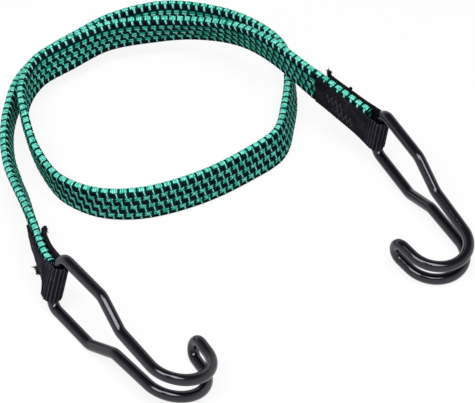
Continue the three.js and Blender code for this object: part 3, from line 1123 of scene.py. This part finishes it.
# One strip: a thin rounded section carried along the line, with ribs parallel to the bar, loops along both
# selvedges and a ragged cut
def addTab(side, material):
    end, lie = bandEnds[side], tabLie[side]
    rng = np.random.default_rng(lie["seed"])
    x, y = tabLine(end)
    run = np.concatenate([[0], np.cumsum(np.hypot(np.diff(x), np.diff(y)))])
    alongX, alongY = np.gradient(x, run), np.gradient(y, run)
    size = np.hypot(alongX, alongY)
    outX, outY = alongY / size, -alongX / size
    crowded, even = tab["columnSpread"]
    share = np.sin(np.linspace(-np.pi / 2, np.pi / 2, tab["columns"])) * crowded
    share = share + np.linspace(-1, 1, tab["columns"]) * even
    isNear = y < 0
    marks = (0, end["nearTail"], run[-1] - end["farTail"] + tab["farFold"], run[-1])
    shift = np.interp(run, marks, (*lie["shift"], lie["shift"][2]))
    half = np.interp(run, marks, (*lie["half"], lie["half"][2]))
    ribNumber = (run / tab["ribPitch"]).astype(int)
    ridge = np.sqrt(np.abs(np.sin(np.pi * run / tab["ribPitch"])))
    loopSize = tab["loops"] * rng.uniform(*tab["loopRange"], ribNumber.max() + 1)[ribNumber]
    loops = (ridge - tab["loopLevel"]) * loopSize
    z = shift[:, None] + (half + loops)[:, None] * share[None]
    inCorner = np.clip(np.abs(z) - hook["barSpan"] / 2 + hook["corner"], 0, hook["corner"])
    bent = hook["corner"] - np.sqrt(hook["corner"] ** 2 - inCorner**2)
    flare = np.maximum(bent - tab["flareRoom"], 0) * np.clip(1 + x / tab["flareFade"], 0, 1)[:, None]
    inEdge = np.clip((1 - np.abs(share)) * tab["width"] / 2 / tab["edge"], 0, 1)
    thick = tab["thickness"] / 2 * np.sqrt(1 - (1 - inEdge) ** 2 * tab["edgeRound"])
    fadeStart, fadeLength = tab["ribFade"]
    nearFold = np.clip(1 - np.maximum(-x - fadeStart, 0) / fadeLength, 0, 1)
    depth = tab["tailRib"] + (tab["foldRib"] - tab["tailRib"]) * nearFold
    rib = depth * (2 * ridge - tab["ribLevel"])
    outside = thick[None] + rib[:, None] * (thick / thick.max())[None]
    inside = np.broadcast_to(-thick[None, ::-1], outside.shape)
    offset = np.concatenate([outside + flare, inside + flare[:, ::-1]], axis=1)
    zRing = np.concatenate([z, z[:, ::-1]], axis=1)
    shareRing = np.concatenate([share, share[::-1]])
    uneven = rng.normal(size=tab["columns"] + len(tab["notch"]) - 1)
    notches = np.convolve(uneven, tab["notch"], "valid")
    cut = tab["ragged"] * np.concatenate([notches, notches[::-1]])
    lower, upper = (np.where(isNear, lie["nearCut"][n], lie["farCut"][n])[:, None] for n in range(2))
    shorter = lower * ((1 - shareRing) / 2) ** 4 + upper * ((1 + shareRing) / 2) ** 4
    fromEnd = np.minimum(run, run[-1] - run)[:, None]
    atEnd = np.clip(1 - fromEnd / tab["cutReach"], 0, 1) ** 2
    lift = np.where(isNear, -lie["lift"][0], lie["lift"][1])[:, None]
    lift = lift * np.clip(1 - fromEnd / tab["liftReach"], 0, 1) ** 2
    ring = np.stack([
        x[:, None] + offset * outX[:, None] + atEnd * (cut + shorter),
        y[:, None] + offset * outY[:, None] + lift,
        zRing,
    ], -1)
    points = setInTab(end, ring).reshape(-1, 3)
    sides = len(shareRing)
    quads = tubeQuads(len(x), sides)
    k = np.arange(tab["columns"] - 1)
    cap = np.stack([k, k + 1, sides - 2 - k, sides - 1 - k], -1)
    lastRing = (len(x) - 1) * sides
    quads = np.vstack([quads, cap[:, ::-1], lastRing + cap])
    level = np.append(shareRing, shareRing[0]) * tab["width"] / 2
    walk = np.concatenate([[0], np.cumsum(np.abs(np.diff(level)) + tab["edgeWalk"])])

    def capCorners(alongMap, acrossMap, ringNumber):
        spots = np.stack([np.full(cap.shape, alongMap[ringNumber]), acrossMap[cap]], -1)
        return spots[:, ::-1] if ringNumber == 0 else spots

    maps = {}
    for name, alongMap, acrossMap in (
        ("webbing", run * 1000, walk * 1000),
        ("lie", nearFold, walk),
        ("OFBake", inMargins(run / run[-1]), inMargins(walk / walk[-1])),
    ):
        u, v = alongMap[:, None], acrossMap[None]
        ends = [capCorners(alongMap, acrossMap, 0), capCorners(alongMap, acrossMap, len(x) - 1)]
        maps[name] = np.concatenate([cornerMap(u[:-1], u[1:], v[:, :-1], v[:, 1:]), *ends])
    return addPiece(side + "_tab", points, quads, material, maps=maps)


webbingLook = {
    "beadPitch": 0.75,  # in mm, across the strip
    "yarnPitch": 0.5,
    "wander": (2.2, 1.5),  # of the yarns: how often along the strip, and how far
    "crest": (0.84, 0.98),  # of a rib, where its painted highlight lies
    "onTail": 0.12,  # share of a rib's painted crest highlight that is left on the tails
    "dust": 240,
    # the lighter shade is the painted highlight on the rib crests, and also dust
    "shades": ((9, 9, 15), (78, 75, 90)),
}


# Matt black ribs: u runs along the strip and v round it, in millimetres; each rib's crest is a row of beads,
# painted lighter as a highlight
def webbingFinish():
    look = webbingLook
    finish, start, wear = newFinish("black_webbing", Specular_IOR_Level=0.15)
    spot = start.make("UVMap", {}, uv_map="webbing")
    along = start.make("SeparateXYZ", {0: spot})
    across = along.other("Y")
    lie = start.make("UVMap", {}, uv_map="lie")
    ridge = abs((along * (np.pi / (tab["ribPitch"] * 1000))).sine())
    raised = start.make("SeparateXYZ", {0: lie}) * (1 - look["onTail"]) + look["onTail"]
    crest = ridge.soft(*look["crest"]) * raised
    bead = (across * (2 * np.pi / look["beadPitch"])).sine() * 0.5 + 0.5
    often, far = look["wander"]
    yarn = (across * (2 * np.pi / look["yarnPitch"]) + (along * often).sine() * far).sine() * 0.5 + 0.5
    dust = noiseAt(start, start.make("TexCoord", {}, output="Object"), look["dust"], 4)
    # painted highlight on the rib crests and their beads, strongest on the fold, plus fine yarns and dust
    light = crest * (bead * 0.5 + 0.45) + yarn * 0.08 + dust.soft(0.42, 0.75) * 0.2
    wear("Base Color", mixShades(light, look["shades"]))
    wear("Roughness", 0.95 - light * 0.25)
    wear("Normal", bumpFrom(ridge * raised * 0.5 + bead * crest * 0.3 + yarn * 0.2, 0.5, 0.00015))
    return finish


webbing = webbingFinish()
for side in bandEnds:
    strip = addTab(side, webbing)
    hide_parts(side + "_webbing_tab")
    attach(strip, side + "_end")
print("tabs folded")


# Tacks

tack = {
    "places": {"upper": (0.0235, 0.002), "lower": (0.017, -0.003)},  # from the bar, across
    "length": 0.010,
    "height": 0.0045,
    "waves": 4,
    "radius": 0.00024,
    "sides": 8,
    "pointsPerWave": 40,
    "over": 0.0036,  # height over the band's middle on the outside of a tail
    "dip": 0.0005,
    "dipFrom": 0.82,  # of the way to a turn
    "roundness": 0.995,  # 1 would be a sharp zig-zag
    "grain": {
        "scale": 4000,
        "detail": 2,
        "shades": ((30, 29, 34), (80, 78, 86)),
        "rough": (0.2, 0.6),
        "bump": (0.3, 0.0001),
    },
}


# A zig-zag: the swing across is a rounded triangle wave, and the thread dips into its hole at each turn
def threadLine(end, fromBar, across, face):
    count = tack["waves"] * tack["pointsPerWave"]
    t = np.linspace(0, tack["waves"], count + 1)
    swing = np.arcsin(np.sin(2 * np.pi * t) * tack["roundness"]) / np.arcsin(tack["roundness"])
    dip = np.clip((np.abs(swing) - tack["dipFrom"]) / (1 - tack["dipFrom"]), 0, 1) ** 2
    x = -fromBar + tack["length"] * (t / tack["waves"] - 0.5)
    y = face * (tack["over"] - tack["dip"] * dip)
    return setInTab(end, np.column_stack([x, y, across + tack["height"] / 2 * swing]))


cotton = grainFinish("black_thread", **tack["grain"], Specular_IOR_Level=0.3)
for side, end in bandEnds.items():
    for name, (fromBar, across) in tack["places"].items():
        for thread, face in (("needle", -1), ("bobbin", 1)):
            line = threadLine(end, fromBar, across, face)
            along = unit(np.gradient(line, axis=0))
            square = squareTo(along, np.broadcast_to(tabAxes(end)[1] * face, along.shape))
            spokes = spokesRound(square, np.cross(along, square), tack["sides"])
            points, quads, fans = solidTube(line[:, None] + tack["radius"] * spokes)
            pieceName = f"{side}_{name}_{thread}"
            piece = addPiece(pieceName, points, quads, cotton, triangles=fans)
            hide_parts(f"{side}_{name}_tack_{thread}_thread")
            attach(piece, side + "_end")
print("tacks sewn")


# Frayed yarns at the cuts

# each tuft: its root, the root's scatter and the yarns' way in the tab's axes, their length, stray, count
tufts = {
    "right": (
        ((-0.0332, 0.0030, 0.0088), (0.0010, 0.0004, 0.0004), (-0.05, 0.0, 1.0), 0.0022, 0.10, 60),
        ((-0.0205, 0.0030, 0.0092), (0.0007, 0.0004, 0.0003), (0.0, 0.0, 1.0), 0.0009, 0.30, 30),
        ((-0.0318, -0.0034, 0.0084), (0.0040, 0.0004, 0.0012), (-0.4, -0.3, 0.2), 0.0016, 0.7, 110),
        ((-0.0350, -0.0029, 0.0022), (0.0003, 0.0005, 0.0070), (-1.0, -0.2, 0.0), 0.0008, 0.4, 90),
        ((-0.0335, 0.0029, 0.0000), (0.0003, 0.0005, 0.0080), (-1.0, 0.2, 0.0), 0.0008, 0.4, 90),
    ),
    "left": (
        ((-0.0196, -0.0028, -0.0084), (0.0010, 0.0005, 0.0006), (-0.25, -1.0, 0.0), 0.0019, 0.08, 60),
        ((-0.0174, -0.0028, -0.0084), (0.0012, 0.0005, 0.0006), (0.3, -1.0, -0.2), 0.0016, 0.10, 60),
        ((-0.0238, 0.0034, 0.0078), (0.0013, 0.0006, 0.0012), (0.3, 0.8, 0.3), 0.0009, 0.30, 90),
        ((-0.0295, -0.0029, -0.0022), (0.0004, 0.0005, 0.0060), (-1.0, -0.2, 0.0), 0.0006, 0.4, 80),
        ((-0.0265, 0.0029, -0.0020), (0.0006, 0.0005, 0.0060), (-1.0, 0.2, 0.0), 0.0007, 0.4, 80),
    ),
}
yarnEnd = {
    "radius": 0.00026,
    "tipShare": 0.35,  # of the radius
    "lengths": (0.4, 1.2),  # in shares of the tuft's own length
    "buried": 0.3,  # behind the root
    "curl": 0.35,
    "rings": 6,
    "sides": 4,
    "seedStep": 20,  # past the tab's own seed
}


# Yarns as bent tapering bars: each runs from its root along its own way and curls off with half the
# square of the length walked
def addFray(side, material):
    rng = np.random.default_rng(tabLie[side]["seed"] + yarnEnd["seedStep"])
    roots, ways, lengths = [], [], []
    for root, scatter, way, length, stray, count in tufts[side]:
        roots.append(np.array(root) + rng.uniform(-1, 1, (count, 3)) * scatter)
        ways.append(unit(np.array(way) + rng.normal(size=(count, 3)) * stray))
        lengths.append(length * rng.uniform(*yarnEnd["lengths"], count))
    roots, ways, lengths = np.vstack(roots), np.vstack(ways), np.concatenate(lengths)
    count, rings, sides = len(roots), yarnEnd["rings"], yarnEnd["sides"]
    curl = rng.normal(size=(count, 3)) * yarnEnd["curl"]
    t = np.linspace(-yarnEnd["buried"], 1, rings)[None, :, None]
    bent = ways[:, None] * t + curl[:, None] * (t * np.abs(t)) * 0.5
    line = roots[:, None] + lengths[:, None, None] * bent
    axisX = unit(np.cross(ways, unit(rng.normal(size=(count, 3)))))
    spokes = spokesRound(axisX, np.cross(ways, axisX), sides)
    radius = yarnEnd["radius"] * np.linspace(1, yarnEnd["tipShare"], rings)[None, :, None, None]
    tubes = line[:, :, None] + radius * spokes[:, None]
    points = np.concatenate([tubes.reshape(count, -1, 3), line[:, :1], line[:, -1:]], axis=1)
    first = np.arange(count)[:, None, None] * points.shape[1]
    oneQuads, oneFans = solidTube(tubes[0])[1:]
    quads = (oneQuads[None] + first).reshape(-1, 4)
    triangles = (oneFans[None] + first).reshape(-1, 3)
    places = setInTab(bandEnds[side], points.reshape(-1, 3))
    return addPiece(side + "_fray", places, quads, material, triangles=triangles)


for side in bandEnds:
    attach(addFray(side, webbing), side + "_end")
print("cuts frayed")


# Floor and light

studio = {
    "floorSize": 6.0,
    "floorSeen": (255, 255, 255),  # to the camera
    "floorLit": (185, 185, 185),  # to the light that it throws back
    "floorGlow": 0.88,  # share of the floor's white that has no shadow
    "world": 0.14,
    "ceiling": 0.15,  # to reflections, beside the white of the walls
    "ceilingFrom": (0.2, 0.8),  # height at which the walls turn into it
    "leftBox": {"place": (-0.47, -0.48, 1.36), "size": (0.6, 0.8), "power": 11},
    "rightBox": {"place": (0.27, -0.48, 1.38), "size": (0.6, 0.8), "power": 12},
}


# One for rays from the camera, and for those that metal or glass throws on
def isSeen(tree):
    ray = Feed(tree, tree.nodes.new("ShaderNodeLightPath").outputs["Is Camera Ray"])
    mirrored = ray.sum("MAXIMUM", ray.other("Is Glossy Ray"), ray.other("Is Transmission Ray"))
    return ray.sum("MAXIMUM", ray, mirrored)


# A pale floor that keeps the object's shadow, most of it white to the camera and to reflections
def addFloor():
    half = studio["floorSize"] / 2
    corners = [(-half, -half, 0), (half, -half, 0), (half, half, 0), (-half, half, 0)]
    mesh = bpy.data.meshes.new("floor")
    mesh.from_pydata(corners, [], [(0, 1, 2, 3)])
    floor = bpy.data.objects.new("floor", mesh)
    scene.collection.objects.link(floor)
    material, matt, wear = newFinish("floor", Roughness=0.9, Specular_IOR_Level=0.0)
    seen = isSeen(material.node_tree)
    wear("Base Color", mixShades(seen, (studio["floorLit"], studio["floorSeen"])))
    glow = seen.make("Emission", {"Color": (1, 1, 1, 1), "Strength": 1.0})
    both = seen.make("MixShader", {0: seen * studio["floorGlow"], 1: matt, 2: glow})
    surface = material.node_tree.nodes["Material Output"].inputs["Surface"]
    material.node_tree.links.new(both.socket, surface)
    mesh.materials.append(material)


# White walls and a greyer ceiling to the camera and to reflections, a plain level of light to the rest
def addWorld():
    world = bpy.data.worlds.new("studio")
    scene.world = world
    world.use_nodes = True
    back = world.node_tree.nodes["Background"]
    back.inputs["Color"].default_value = (1, 1, 1, 1)
    seen = isSeen(world.node_tree)
    up = seen.make("SeparateXYZ", {0: seen.make("TexCoord", {}, output="Generated")}).other("Z")
    white = 1 - up.soft(*studio["ceilingFrom"]) * (1 - studio["ceiling"])
    strength = seen * (white - studio["world"]) + studio["world"]
    world.node_tree.links.new(strength.socket, back.inputs["Strength"])


# A soft box that faces the camera's target
def addLamp(name, place, size, power):
    data = bpy.data.lights.new(name, "AREA")
    data.shape = "RECTANGLE"
    data.size, data.size_y = size
    data.energy = power
    lamp = bpy.data.objects.new(name, data)
    lamp.location = place
    away = unit(np.array(place) - np.array(photo["target"]))
    lamp.rotation_euler = (np.arccos(away[2]), 0, np.arctan2(away[1], away[0]) + np.pi / 2)
    scene.collection.objects.link(lamp)


addFloor()
addWorld()
addLamp("left_box", **studio["leftBox"])
addLamp("right_box", **studio["rightBox"])
print("studio lit")
